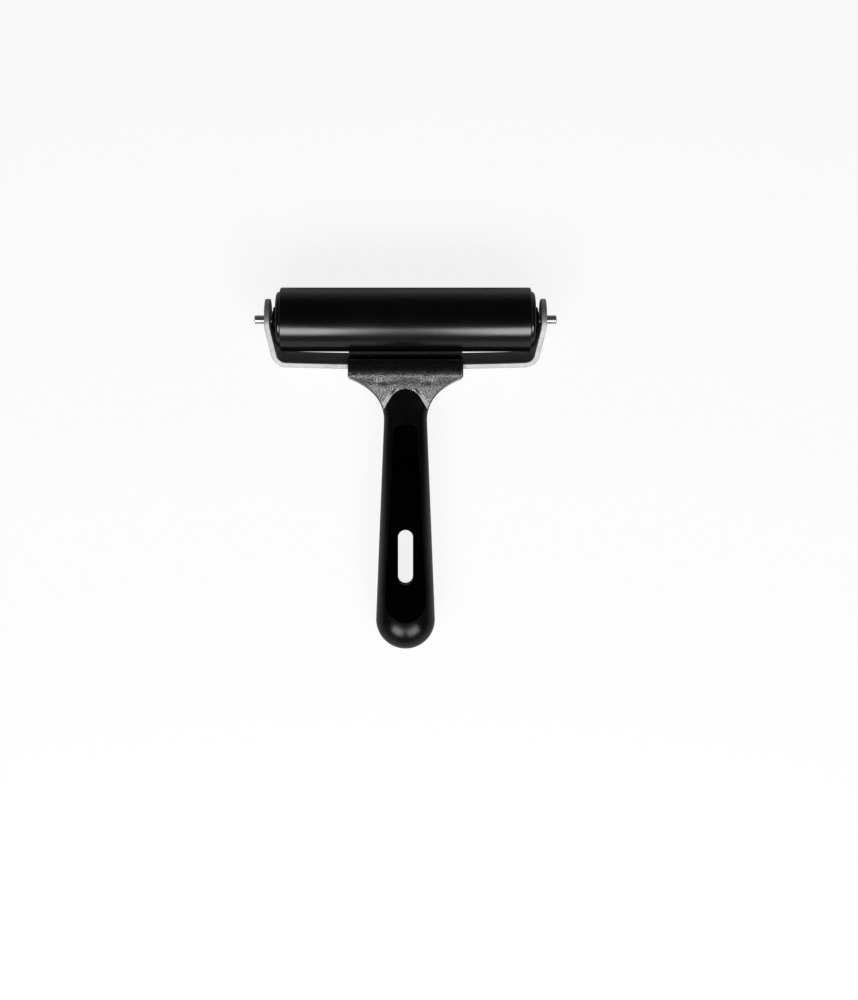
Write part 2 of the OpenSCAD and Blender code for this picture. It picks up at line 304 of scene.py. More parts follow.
class Surface:
    """A Principled material whose colour, roughness and bump come from noise in object space."""

    def __init__(self, name, metallic=0.0, specular=0.5, coat=0.0):
        self.material = bpy.data.materials.new(name)
        self.material.use_nodes = True
        self.nodes = self.material.node_tree.nodes
        self.links = self.material.node_tree.links
        self.shader = self.nodes["Principled BSDF"]
        self.shader.inputs["Metallic"].default_value = metallic
        self.shader.inputs["Specular IOR Level"].default_value = specular
        self.shader.inputs["Coat Weight"].default_value = coat
        self.shader.inputs["Coat Roughness"].default_value = 0.2
        self.place = self.nodes.new("ShaderNodeTexCoord")
        self.normal = None

    def pattern(self, kind, size, stretch=(1, 1, 1)):
        """A texture node whose features are about size millimetres across."""
        mapping = self.nodes.new("ShaderNodeMapping")
        mapping.inputs["Scale"].default_value = [1 / (size * MM * s) for s in stretch]
        texture = self.nodes.new(kind)
        texture.inputs["Scale"].default_value = 1.0
        self.links.new(self.place.outputs["Object"], mapping.inputs["Vector"])
        self.links.new(mapping.outputs["Vector"], texture.inputs["Vector"])
        return texture

    def grain(self, size, stretch=(1, 1, 1)):
        """Noise of a size in millimetres, longer along the axes where stretch is more."""
        noise_texture = self.pattern("ShaderNodeTexNoise", size, stretch)
        noise_texture.inputs["Detail"].default_value = 4.0
        noise_texture.inputs["Roughness"].default_value = 0.55
        return noise_texture.outputs["Fac"]

    def cells(self, size):
        """Rounded cells of a size in millimetres."""
        voronoi = self.pattern("ShaderNodeTexVoronoi", size)
        voronoi.feature = "SMOOTH_F1"
        return voronoi.outputs["Distance"]

    def spread(self, source, low, high, start=NOISE_LOW, end=NOISE_HIGH):
        """Maps a pattern's middle range to values from low to high."""
        step = self.nodes.new("ShaderNodeMapRange")
        step.inputs["From Min"].default_value = start
        step.inputs["From Max"].default_value = end
        step.inputs["To Min"].default_value = low
        step.inputs["To Max"].default_value = high
        self.links.new(source, step.inputs["Value"])
        return step.outputs["Result"]

    def colour(self, source, dark, light):
        """Colours the surface between two shades by a pattern."""
        ramp = self.nodes.new("ShaderNodeValToRGB")
        ramp.color_ramp.elements[0].position = NOISE_LOW
        ramp.color_ramp.elements[0].color = (*dark, 1)
        ramp.color_ramp.elements[1].position = NOISE_HIGH
        ramp.color_ramp.elements[1].color = (*light, 1)
        self.links.new(source, ramp.inputs["Fac"])
        self.links.new(ramp.outputs["Color"], self.shader.inputs["Base Color"])

    def roughness(self, source, low, high):
        """Varies the roughness between two values by a pattern."""
        self.links.new(self.spread(source, low, high), self.shader.inputs["Roughness"])

    def bump(self, source, height, strength=1.0):
        """Adds relief of a height in millimetres. Calls stack, coarse relief first.

        The strength is a number, or a socket that gives it point by point.
        """
        relief = self.nodes.new("ShaderNodeBump")
        if isinstance(strength, float):
            relief.inputs["Strength"].default_value = strength
        else:
            self.links.new(strength, relief.inputs["Strength"])
        relief.inputs["Distance"].default_value = height * MM
        self.links.new(source, relief.inputs["Height"])
        if self.normal:
            self.links.new(self.normal, relief.inputs["Normal"])
        self.normal = relief.outputs["Normal"]
        self.links.new(self.normal, self.shader.inputs["Normal"])


def grey(value, warmth=0.0):
    """A grey, redder where warmth is above zero and bluer where it is below."""
    return (value * (1 + warmth), value, value * (1 - warmth))


def rubber():
    s = Surface("roller_rubber", specular=0.85)
    s.colour(s.grain(18), grey(0.0010), grey(0.0022))
    s.roughness(s.grain(30), 0.21, 0.25)
    s.bump(s.grain(0.35, stretch=(1, 30, 30)), 0.004, 0.5)
    s.bump(s.grain(0.15), 0.002, 0.4)
    return s.material


def cap_plastic():
    s = Surface("cap_plastic", specular=0.9)
    s.colour(s.grain(6), grey(0.0025), grey(0.0050))
    s.roughness(s.grain(2.5), 0.12, 0.20)
    s.bump(s.grain(0.8), 0.004, 0.4)
    return s.material


def bush_plastic():
    s = Surface("bush_plastic", specular=0.5)
    s.colour(s.grain(4), (0.60, 0.57, 0.49), (0.70, 0.67, 0.59))
    s.roughness(s.grain(1.5), 0.32, 0.45)
    s.bump(s.grain(0.3), 0.003, 0.4)
    return s.material


def washer_plastic():
    s = Surface("washer_plastic", specular=0.15)
    s.colour(s.grain(3), grey(0.001), grey(0.003))
    s.roughness(s.grain(1.0), 0.40, 0.55)
    s.bump(s.grain(0.3), 0.004, 0.5)
    return s.material


def tube_aluminium():
    s = Surface("tube_aluminium", metallic=1.0)
    s.colour(s.grain(6, stretch=(6, 1, 1)), grey(0.50), grey(0.62))
    s.roughness(s.grain(1.2, stretch=(20, 1, 1)), 0.28, 0.42)
    s.bump(s.grain(0.2, stretch=(40, 1, 1)), 0.003, 0.4)
    return s.material


def axle_steel():
    s = Surface("axle_steel", metallic=0.8)
    s.colour(s.grain(3), grey(0.52, -0.01), grey(0.64, -0.01))
    s.roughness(s.grain(0.6, stretch=(1, 8, 8)), 0.22, 0.30)
    s.bump(s.grain(0.12, stretch=(1, 30, 30)), 0.004, 0.5)
    return s.material


def yoke_steel():
    s = Surface("yoke_steel", metallic=0.5)
    s.colour(s.grain(5), grey(0.44, -0.01), grey(0.54, -0.01))
    s.roughness(s.grain(2.2), 0.40, 0.47)
    s.bump(s.grain(0.5, stretch=(4, 1, 1)), 0.008, 0.4)
    s.bump(s.grain(0.12), 0.002, 0.3)
    return s.material


def textured_plastic():
    """Coarse mould grain, nearly smooth where the mesh's "worn" attribute is 1."""
    s = Surface("textured_plastic", specular=1.0, coat=0.7)
    s.colour(s.grain(5), grey(0.002), grey(0.005))
    s.roughness(s.grain(1.2), 0.21, 0.29)
    worn = s.nodes.new("ShaderNodeAttribute")
    worn.attribute_name = "worn"
    s.bump(s.cells(0.5), 0.05, s.spread(worn.outputs["Fac"], 0.5, 0.05, 0, 1))
    s.bump(s.grain(0.22), 0.02, s.spread(worn.outputs["Fac"], 0.5, 0.1, 0, 1))
    return s.material


def grip_plastic():
    s = Surface("grip_plastic", specular=0.42)
    s.colour(s.grain(14), grey(0.0012), grey(0.0026))
    s.roughness(s.grain(6), 0.24, 0.31)
    s.bump(s.grain(0.30), 0.003, 0.4)
    return s.material


def inlay_rubber():
    s = Surface("inlay_rubber", specular=0.02)
    s.colour(s.grain(9), grey(0.0003), grey(0.0008))
    s.roughness(s.grain(3), 0.75, 0.90)
    s.bump(s.grain(0.25), 0.01, 0.5)
    return s.material


# --- Roller, axle and washers ---

def sleeve_profile():
    edge = 0.6
    return rounded([
        (-SLEEVE_END, TUBE_R, 0.2),
        (SLEEVE_END, TUBE_R, 0.2),
        (SLEEVE_END, SLEEVE_R, edge),
        (-SLEEVE_END, SLEEVE_R, edge),
    ])


def cap_profile():
    bore_r = TUBE_R - TUBE_WALL
    hub_r = BUSH_R + CAP_WALL
    skirt_r = bore_r - CAP_WALL
    web = SLEEVE_END - CAP_WEB
    return rounded([
        (CAP_START, BUSH_R, 0.2),
        (CAP_FACE - COLLAR_T, BUSH_R, 0.0),
        (CAP_FACE - COLLAR_T, COLLAR_R, 0.0),
        (CAP_FACE, COLLAR_R, 0.15),
        (CAP_FACE, CAP_R, CAP_ROUND),
        (SLEEVE_END, CAP_R, 0.15),
        (SLEEVE_END, bore_r, 0.0),
        (CAP_START, bore_r, 0.3),
        (CAP_START, skirt_r, 0.3),
        (web, skirt_r, 0.4),
        (web, hub_r, 0.4),
        (CAP_START, hub_r, 0.2),
    ])


def bush_profile():
    bore_r = AXLE_R + FIT
    return rounded([
        (CAP_START, bore_r, 0.15),
        (CAP_FACE, bore_r, 0.15),
        (CAP_FACE, COLLAR_R, 0.12),
        (CAP_FACE - COLLAR_T, COLLAR_R, 0.0),
        (CAP_FACE - COLLAR_T, BUSH_R, 0.0),
        (CAP_START, BUSH_R, 0.15),
    ])


def washer_profile():
    bore_r = AXLE_R + FIT
    boss_end = WASHER_OUT + BOSS_T
    return rounded([
        (WASHER_IN, bore_r, 0.15),
        (boss_end, bore_r, 0.1),
        (boss_end, BOSS_R, 0.15),
        (WASHER_OUT, BOSS_R, 0.0),
        (WASHER_OUT, WASHER_R, 0.25),
        (WASHER_IN, WASHER_R, 0.25),
    ])


def axle_profile():
    journal_end = PAD_OUT + 0.1
    half = [
        (AXLE_TIP, 0.0, 0.0),
        (AXLE_TIP, FREE_END_R - CHAMFER, 0.1),
        (AXLE_TIP - CHAMFER, FREE_END_R, 0.1),
        (journal_end, FREE_END_R, 0.0),
        (journal_end, JOURNAL_R, 0.08),
        (SHOULDER, JOURNAL_R, 0.0),
        (SHOULDER, AXLE_R, 0.1),
    ]
    other = [(-x, r, radius) for x, r, radius in reversed(half)]
    return rounded(half + other)


def make_roller():
    black = rubber()
    gloss = cap_plastic()
    acetal = bush_plastic()
    sleeve = turned(sleeve_profile(), 192)
    new_piece("sleeve", *sleeve, black, "roller", ["rubber_sleeve"], "roller_rubber")
    for side, place in (("left", mirrored), ("right", np.array)):
        cap = turned(place(cap_profile()), 160)
        new_piece("cap_" + side, *cap, gloss, "roller", ["end_cap_" + side], "cap_plastic")
        bush = turned(place(bush_profile()), 96)
        new_piece("bush_" + side, *bush, acetal, "roller", ["bearing_bush_" + side], "bush_plastic")
    frame["nodes"]["core_tube"].data.materials.clear()
    frame["nodes"]["core_tube"].data.materials.append(tube_aluminium())


def make_axle():
    rod = turned(axle_profile(), 96, closed=False)
    new_piece("axle_rod", *rod, axle_steel(), "frame", ["axle"], "axle_steel")
    black = washer_plastic()
    for side, place in (("left", mirrored), ("right", np.array)):
        washer = turned(place(washer_profile()), 96)
        new_piece("washer_" + side, *washer, black, "frame", ["thrust_washer_" + side], "washer_plastic")


# --- Yoke: a bent strap, drawn in its own frame and then leaned back ---

def pad_face_x(y, skin):
    """Where one face of the strap lies beside the pad: upright, then sloping in."""
    blend = 2.0
    bend_y = -PAD_DROP - skin * math.tan(ARM_SLOPE / 2)
    return PAD_IN + skin - math.tan(ARM_SLOPE) * soft_max(bend_y - y, 0.0, blend)


def strap_line(skin):
    """(x, y) points of one face of the right arm, the lower bend and half the base."""
    slope_sin = math.sin(ARM_SLOPE)
    drop_to_bend = PAD_DROP - BASE_DROP + BEND_R
    bend_x = PAD_IN + (drop_to_bend * slope_sin - BEND_R) / math.cos(ARM_SLOPE)
    bend_y = BEND_R - BASE_DROP
    radius = BEND_R + skin
    arm_top = np.array([pad_face_x(-PAD_R, skin), -PAD_R])
    arm_end = np.array([bend_x + radius * math.cos(ARM_SLOPE), bend_y - radius * slope_sin])
    arm = [lerp(arm_top, arm_end, share) for share in np.linspace(0, 1, 7)]
    turns = np.linspace(-ARM_SLOPE, -math.pi / 2, 15)[1:]
    bend = [(bend_x + radius * math.cos(t), bend_y + radius * math.sin(t)) for t in turns]
    shares = np.linspace(1, 0, 37)[1:]
    base = [(bend_x * s, -BASE_DROP - skin - BASE_BOW * (1 - s * s)) for s in shares]
    return np.array(arm + bend + base)


def half_strap(skin):
    """Points of one face of the strap's right half: rings about the axle hole, then rows."""
    across, side, crown, rings = 24, 12, 36, 9
    width = np.linspace(-PAD_R, PAD_R, across + 1)
    rise = np.linspace(-PAD_R, 0, side + 1)
    turn = np.linspace(math.pi / 2, -math.pi / 2, crown + 1)
    edge = [(-PAD_R, z) for z in width[:-1]]
    edge += [(y, PAD_R) for y in rise[:-1]]
    edge += [(PAD_R * math.cos(t), PAD_R * math.sin(t)) for t in turn[:-1]]
    edge += [(y, -PAD_R) for y in rise[:0:-1]]
    edge = np.array(edge)
    hole = edge / np.linalg.norm(edge, axis=1)[:, None] * (JOURNAL_R + FIT)
    rows = [lerp(hole, edge, share) for share in np.linspace(0, 1, rings)]
    pad = np.concatenate(rows)
    pad = np.stack([pad_face_x(pad[:, 0], skin), pad[:, 0], pad[:, 1]], 1)
    line = strap_line(skin)
    strip = np.array([(x, y, z) for x, y in line for z in width])
    faces = grid_faces(rings, len(edge), wrap_columns=True)
    faces += [tuple(reversed(f)) for f in grid_faces(len(line), across + 1, first=len(pad))]
    return np.concatenate([pad, strip]), faces


def welded(points, faces):
    """Joins points that coincide, so that a face's edges pair up with its neighbours'."""
    keys = {}
    places = []
    index = []
    for point in points:
        key = tuple(np.round(point, 4))
        if key not in keys:
            keys[key] = len(places)
            places.append(point)
        index.append(keys[key])
    return np.array(places), [tuple(index[i] for i in face) for face in faces]


def make_yoke():
    sheets = []
    for skin in (0.0, STRAP_T):
        points, faces = half_strap(skin)
        count = len(points)
        both = np.concatenate([points, points * (-1, 1, 1)])
        all_faces = faces + [tuple(i + count for i in reversed(face)) for face in faces]
        sheets.append(welded(both, all_faces))
    points, faces = thickened(sheets[0][0], sheets[1][0], sheets[0][1])
    cos, sin = math.cos(LEAN), math.sin(LEAN)
    leaned = np.stack([
        points[:, 0],
        points[:, 1] * cos - points[:, 2] * sin,
        points[:, 1] * sin + points[:, 2] * cos,
    ], 1)
    strap = new_piece("strap", leaned, faces, yoke_steel(), "frame", ["yoke"], "yoke_steel", 40)
    bevelled(strap, 0.35, 50)


# --- The handle's outline and profile ---

def fan_half_w(drop):
    """Half-width of the fan: a quadratic curve from the T-head's corner to the neck."""
    a = FAN_TOP[1] - 2 * FAN_BEND[1] + NECK_DROP
    b = 2 * (FAN_BEND[1] - FAN_TOP[1])
    t = (-b + np.sqrt(np.maximum(0.0, b * b - 4 * a * (FAN_TOP[1] - drop)))) / (2 * a)
    return NECK_HALF_W + (FAN_TOP[0] - NECK_HALF_W) * np.square(1 - t)


def core_half_w(drop):
    """Half-width of the T-head and the fan, with the corner between them just broken."""
    blend = 0.15
    flare = (FAN_TOP[0] - FAN_BEND[0]) / (FAN_BEND[1] - FAN_TOP[1])
    above = FAN_TOP[0] + (FAN_TOP[1] - drop) * flare
    below = fan_half_w(np.clip(drop, FAN_TOP[1], NECK_DROP))
    return soft_min(HEAD_HALF_W, np.where(drop < FAN_TOP[1], above, below), blend)


def grip_half_w(drop):
    """Half-width of the grip: the fan's curve above the neck, then straight, then round."""
    straight = lerp(NECK_HALF_W, END_R, np.clip((drop - NECK_DROP) / (END_DROP - NECK_DROP), 0, 1))
    wide = np.where(drop < NECK_DROP, fan_half_w(np.minimum(drop, NECK_DROP)), straight)
    return wide * end_share(drop)


def end_share(drop):
    """How much of the grip's width and thickness is left in the round end."""
    return np.where(drop < END_DROP, 1.0, round_share(np.clip((drop - END_DROP) / END_R, 0, 1)))


def body_half_t(drop):
    """Half-thickness of the grip's body: it swells to the belly, then settles towards the end."""
    swell = lerp(NECK_HALF_T, BELLY_HALF_T, ease((drop - NECK_DROP) / (BELLY_DROP - NECK_DROP)))
    settle = lerp(BELLY_HALF_T, END_HALF_T, ease((drop - BELLY_DROP) / (END_DROP - BELLY_DROP)))
    return np.where(drop < BELLY_DROP, swell, settle)


def grip_half_t(drop):
    """Half-thickness of the whole grip, with the nose and the round end."""
    to_neck = np.clip((NECK_DROP - drop) / (NECK_DROP - NOSE_DROP), 0, 1)
    nose = lerp(NOSE_HALF_T, NECK_HALF_T, round_share(to_neck))
    return np.where(drop < NECK_DROP, nose, body_half_t(drop)) * end_share(drop)


def squareness(drop):
    """The exponent of the grip's section: squarish along the body, elliptical at the round end."""
    body, softening = 2.7, 0.65
    start, length = 108, 14
    return body - softening * ease((drop - start) / length)


def arch_side():
    """Where the nose's round top meets its straight leg, and the leg's outward direction."""
    centre = np.array([0, NOSE_DROP + NOSE_R])
    foot = np.array([fan_half_w(NOSE_END_DROP), NOSE_END_DROP])
    reach = np.linalg.norm(foot - centre)
    turn = math.atan2(*(foot - centre)[::-1]) - math.acos(NOSE_R / reach)
    out = np.array([math.cos(turn), math.sin(turn)])
    return centre, out, centre + out * NOSE_R


def arch_gap(x, drop):
    """Distance outside the nose's arched outline, negative inside it."""
    centre, out, touch = arch_side()
    across = np.abs(x)
    from_circle = np.hypot(across, drop - centre[1]) - NOSE_R
    from_leg = (across - touch[0]) * out[0] + (drop - touch[1]) * out[1]
    on_circle = np.arctan2(drop - centre[1], across + 1e-9) < math.atan2(out[1], out[0])
    return np.where(on_circle, from_circle, from_leg)


def arch_half_w(drop):
    """Half-width of the nose's arched outline."""
    centre, out, touch = arch_side()
    circle = np.sqrt(np.maximum(0.0, NOSE_R**2 - np.square(drop - centre[1])))
    leg = touch[0] + (drop - touch[1]) * -out[1] / out[0]
    return np.where(drop < touch[1], circle, leg)


def crown_share(x, drop):
    """How much of the grip's half-thickness is left at a distance x from its middle."""
    across = np.clip(np.abs(x) / np.maximum(grip_half_w(drop), 1e-6), 0, 1)
    power = squareness(drop)
    return np.power(1 - np.power(across, power), 1 / power)


def inlay_side():
    """The inlay's corner centre, end centre and the direction out of its straight side."""
    corner = np.array([INLAY_HALF_W - INLAY_CORNER_R, INLAY_DROP + INLAY_CORNER_R])
    end = np.array([0.0, INLAY_END_DROP - INLAY_END_R])
    along = end - corner
    spread = math.acos((INLAY_CORNER_R - INLAY_END_R) / np.linalg.norm(along))
    turn = math.atan2(along[1], along[0]) - spread
    out = np.array([math.cos(turn), math.sin(turn)])
    return corner, end, out


# --- Head and fan ---

# Length over which the head's back turns into the flat that rests on the bench.
BENCH_BLEND = 0.6


def unit_section(round_x, round_z):
    """A ring round a box from -1 to 1 with elliptical corners, starting at the middle of +X."""
    side_steps, corner_steps, face_steps = 17, 10, 75
    turn = np.linspace(0, math.pi / 2, corner_steps + 1)
    rise = np.linspace(0, 1 - round_z, side_steps + 1)
    from_x, from_z = 1 - round_x, 1 - round_z
    quarter = [(1.0, z) for z in rise]
    quarter += [(from_x + round_x * math.cos(t), from_z + round_z * math.sin(t)) for t in turn[1:]]
    quarter += [(x, 1.0) for x in np.linspace(1 - round_x, 0, face_steps + 1)[1:]]
    quarter = np.array(quarter)
    upper = np.concatenate([quarter, (quarter * (-1, 1))[-2::-1]])
    return np.concatenate([upper, (upper * (1, -1))[-2:0:-1]])


# Where the front face's slope changes: the drop, over what length, and by how much.
HEAD_SLOPES = [(18.91, 3.0, 0.28), (21.5, 2.6, 0.29), (25.4, 2.0, -0.12)]


def head_front(drop):
    """Height of the front face along the middle: a crown, then a slope down to the neck."""
    crest, crest_z = 18.31, 4.05
    steps = np.linspace(crest, CORE_END, 400)
    slope = sum(change * ease((steps - start) / length) for start, length, change in HEAD_SLOPES)
    fall = np.concatenate([[0], np.cumsum((slope[1:] + slope[:-1]) / 2 * np.diff(steps))])
    return crest_z - np.interp(drop, steps, fall)


def head_back(drop):
    """Height of the back face along the middle. The bench cuts it flat."""
    share = ease((drop - FAN_START) / (NOSE_END_DROP - FAN_START))
    deep = HANDLE_Z - lerp(FAN_HALF_T, NECK_HALF_T, share)
    return soft_max(deep, BENCH, BENCH_BLEND)


def head_rows():
    """(front drop, front height, back drop, back height, half-width trim) of each section."""
    corner_r = 0.6
    cos, sin = math.cos(LEAN), math.sin(LEAN)
    rows = []
    for turn in np.radians(np.linspace(6, 70, 14)):
        own_y = HEAD_TOP + HEAD_EDGE_R * (1 - math.cos(turn))
        own_z = HEAD_HALF_T - HEAD_EDGE_R * (1 - math.sin(turn))
        side = corner_r * (1 - round_share(max(0.0, 1 - (own_y - HEAD_TOP) / corner_r)))
        front = (own_y * cos + own_z * sin, -own_y * sin + own_z * cos)
        back = (own_y * cos - own_z * sin, -own_y * sin - own_z * cos)
        rows.append((front[0], front[1], back[0], soft_max(back[1], BENCH, BENCH_BLEND), side))
    first = rows[-1]
    lean_end, corner_end, grip_start = 22.4, 24.4, 37.4
    drops = np.concatenate([
        np.linspace(first[0], lean_end, 18)[1:],
        np.linspace(lean_end, corner_end, 18)[1:],
        np.linspace(corner_end, grip_start, 54)[1:],
        np.linspace(grip_start, CORE_END, 6)[1:],
    ])
    for drop in drops:
        share = ease((drop - first[0]) / (lean_end - first[0]))
        back_drop = drop - (first[0] - first[2]) * (1 - share)
        front_z = head_front(drop)
        back_z = lerp(first[3], head_back(back_drop), share)
        rows.append((drop, front_z, back_drop, back_z, 0.0))
    return rows


def arch_relief(x, drop):
    """Raises the face along the arch and in a low swell beside it, and tucks it under the nose."""
    rim_height, rim_w = 0.34, 1.9
    swell_height, swell_x, swell_drop = 0.2, 8.9, 25
    tuck_depth, tuck_w = 2.4, 0.45
    gap = arch_gap(x, drop)
    across = np.abs(x)
    rim = rim_height * ease(1 - gap / rim_w) * ease((across - 2.5) / 3)
    from_swell = np.square((across - swell_x) / 2.8) + np.square((drop - swell_drop) / 1.5)
    return rim + swell_height * np.exp(-from_swell) - tuck_depth * ease(-gap / tuck_w)


def make_head():
    edge_r = 0.7
    inset = 4.0
    relief_start = 22
    rings = []
    for front_drop, front_z, back_drop, back_z, trim in head_rows():
        half_w = float(core_half_w(front_drop))
        half_t = (front_z - back_z) / 2
        ring = unit_section(edge_r / half_w, edge_r / half_t)
        depth = (ring[:, 1] + 1) / 2
        drop = lerp(back_drop, front_drop, depth)
        inside = ease((front_drop - NOSE_END_DROP + 0.3) / 0.5)
        x = ring[:, 0] * (core_half_w(drop) - trim - inset * inside)
        # The relief is on the front and the back, and fades out round the sides.
        facing = ease((np.abs(ring[:, 1]) - 0.2) / 0.5) * (drop > relief_start)
        z = lerp(back_z, front_z, depth) + arch_relief(x, drop) * facing * np.sign(ring[:, 1])
        rings.append(np.stack([x, -drop, np.maximum(z, BENCH)], 1))
    count = len(rings[0])
    points = np.concatenate(rings)
    faces = grid_faces(len(rings), count, wrap_columns=True)
    faces += ladder_cap(count) + ladder_cap(count, (len(rings) - 1) * count)
    black = textured_plastic()
    head = new_piece("head", points, faces, black, "frame", ["handle_core"], "textured_plastic", 50)
    roughen(head, height=0.05, size=0.42)


def roughen(piece, height, size):
    """Gives the head the shallow relief of its spark-eroded mould, polished away along the arch.

    The mesh's "worn" attribute says where it is polished, for the material.
    """
    mesh = piece.data
    places = np.zeros(len(mesh.vertices) * 3)
    normals = np.zeros(len(mesh.vertices) * 3)
    mesh.vertices.foreach_get("co", places)
    mesh.vertices.foreach_get("normal", normals)
    places = places.reshape(-1, 3)
    relief = np.array([noise.noise(Vector(p / (size * MM))) for p in places])
    x = places[:, 0] / MM
    drop = AXLE[1] - places[:, 1] / MM
    gap = arch_gap(x, drop)
    worn = ease(1 - (gap - 0.5) / 1.7) * ease((np.abs(x) - 2) / 2.5)
    near_top = lerp(0.25, 1.0, ease((drop - 19) / 3))
    near_arch = lerp(0.3, 1.0, ease((gap - 0.8) / 1.5))
    relief = relief * near_top * (1 - 0.95 * worn) * near_arch
    mesh.attributes.new("worn", "FLOAT", "POINT").data.foreach_set("value", worn)
    places = places + normals.reshape(-1, 3) * relief[:, None] * height * MM
    places[:, 2] = np.maximum(places[:, 2], 0.0)
    mesh.vertices.foreach_set("co", places.ravel())
    mesh.update()


# --- Grip ---

def grip_drops():
    """Drops of the grip's sections, close together where an edge crosses them."""
    centre, out, touch = arch_side()
    last_turn = 90 + math.degrees(math.atan2(out[1], out[0]))
    circle = centre[1] - NOSE_R * np.cos(np.radians(np.linspace(3, last_turn, 18)))
    leg = np.linspace(touch[1], NOSE_END_DROP, 16)[1:]
    above_edge, below_edge = INLAY_DROP - 0.3, INLAY_DROP + 0.6
    body_start, body_end = INLAY_DROP + 3, END_DROP - 0.3
    dome = END_DROP + END_R * np.sin(np.radians(np.linspace(6.5, 89, 30)))
    return np.concatenate([
        circle,
        leg,
        np.linspace(NOSE_END_DROP, above_edge, 10)[1:-1],
        np.linspace(above_edge, below_edge, 13),
        np.linspace(below_edge, body_start, 8)[1:-1],
        np.linspace(body_start, body_end, 96)[:-1],
        np.linspace(body_end, END_DROP + 1.2, 18),
        dome,
    ])


def inlay_gap(x, drop):
    """Distance inside the inlay's outline, negative outside it."""
    corner, end, out = inlay_side()
    across = np.abs(x)
    from_top = drop - INLAY_DROP
    from_side = INLAY_CORNER_R - (across - corner[0]) * out[0] - (drop - corner[1]) * out[1]
    from_corner = INLAY_CORNER_R - np.hypot(across - corner[0], drop - corner[1])
    from_end = INLAY_END_R - np.hypot(across - end[0], drop - end[1])
    in_corner = (across > corner[0]) & (drop < corner[1])
    in_end = drop > end[1] + INLAY_END_R * out[1]
    plain = np.minimum(from_top, from_side)
    return np.where(in_corner, from_corner, np.where(in_end, from_end, plain))


def inlay_half_w(drop):
    """Half-width of the inlay's outline, held open at both ends so that sections keep a middle."""
    least = 2.0
    corner, end, out = inlay_side()
    side = corner[0] + (INLAY_CORNER_R - (drop - corner[1]) * out[1]) / out[0]
    in_corner = corner[0] + INLAY_CORNER_R * round_share((corner[1] - drop) / INLAY_CORNER_R)
    in_end = INLAY_END_R * round_share((drop - end[1]) / INLAY_END_R)
    width = np.where(drop < INLAY_DROP, corner[0], np.where(drop < corner[1], in_corner, side))
    width = np.where(drop > end[1] + INLAY_END_R * out[1], in_end, width)
    return np.maximum(width, least)


def quarter_section(drop):
    """(x, height) points from the crown round to the side, with columns along the inlay's edge."""
    furthest_edge = 0.72
    edge_blend = 0.45
    half_w = float(grip_half_w(drop))
    half_t = float(grip_half_t(drop))
    power = float(squareness(drop))
    limit = half_w if drop >= NOSE_END_DROP else min(half_w, float(arch_half_w(drop)))
    edge = min(float(inlay_half_w(drop)), furthest_edge * limit)
    spread = edge_blend * min(1.0, edge / 3)
    offsets = spread * np.array([-0.66, -0.44, -0.22, 0, 0.22, 0.44, 0.66, 1])
    across = np.concatenate([np.linspace(0, edge - spread, 15), edge + offsets])
    crown = half_t * np.power(1 - np.power(across / half_w, power), 1 / power)
    start = math.acos((across[-1] / half_w) ** (power / 2))
    turn = np.linspace(start, 0, 500)
    x = np.minimum(half_w * np.power(np.cos(turn), 2 / power), limit)
    z = half_t * np.power(np.sin(turn), 2 / power)
    length = np.concatenate([[0], np.cumsum(np.hypot(np.diff(x), np.diff(z)))])
    stops = np.linspace(0, length[-1], 31)[1:]
    side = np.stack([np.interp(stops, length, x), np.interp(stops, length, z)], 1)
    return np.concatenate([np.stack([across, crown], 1), side])


def recessed(x, drop, height):
    """Sinks the grip's face to the floor of the inlay's pocket."""
    wall_start, wall_w = -0.12, 0.34
    floor = body_half_t(drop) - INLAY_DEPTH - INLAY_T
    share = ease((inlay_gap(x, drop) - wall_start) / wall_w)
    return lerp(height, np.minimum(height, floor), share)


def lipped(x, drop, height):
    """Rounds the nose's upper edge along the arch."""
    radius = 0.45
    inside = np.clip(-arch_gap(x, drop), 0, radius)
    top = grip_half_t(drop) * crown_share(x, drop)
    lip = radius * (1 - round_share(1 - inside / radius))
    return np.where(drop < NOSE_END_DROP, np.minimum(height, top - lip), height)


def make_grip():
    blend = 0.5
    rings = []
    for drop in grip_drops():
        quarter = quarter_section(drop)
        x, height = quarter[:, 0], quarter[:, 1]
        height = recessed(x, drop, lipped(x, drop, height))
        quarter = np.stack([x, height], 1)[::-1]
        upper = np.concatenate([quarter, (quarter * (-1, 1))[-2::-1]])
        ring = np.concatenate([upper, (upper * (1, -1))[-2:0:-1]])
        z = soft_max(HANDLE_Z + ring[:, 1], BENCH, blend)
        rings.append(np.stack([ring[:, 0], np.full(len(ring), -drop), z], 1))
    count = len(rings[0])
    points = np.concatenate(rings)
    faces = grid_faces(len(rings), count, wrap_columns=True)
    last = len(points) - count
    faces += [tuple(range(count)), tuple(range(last, last + count))]
    grip = new_piece("grip_shell", points, faces, grip_plastic(), "frame", ["grip"], "grip_plastic", 50)
    cut_slot(grip)


def slot_ends(top_count, bottom_count):
    """Points over the hanging slot's round top from the left, and back round its bottom."""
    straight = SLOT_HALF_LEN - SLOT_R
    turn = np.linspace(math.pi, 0, top_count)
    top = np.stack([SLOT_R * np.cos(turn), SLOT_DROP - straight - SLOT_R * np.sin(turn)], 1)
    turn = np.linspace(0, math.pi, bottom_count)
    bottom = np.stack([SLOT_R * np.cos(turn), SLOT_DROP + straight + SLOT_R * np.sin(turn)], 1)
    return top, bottom


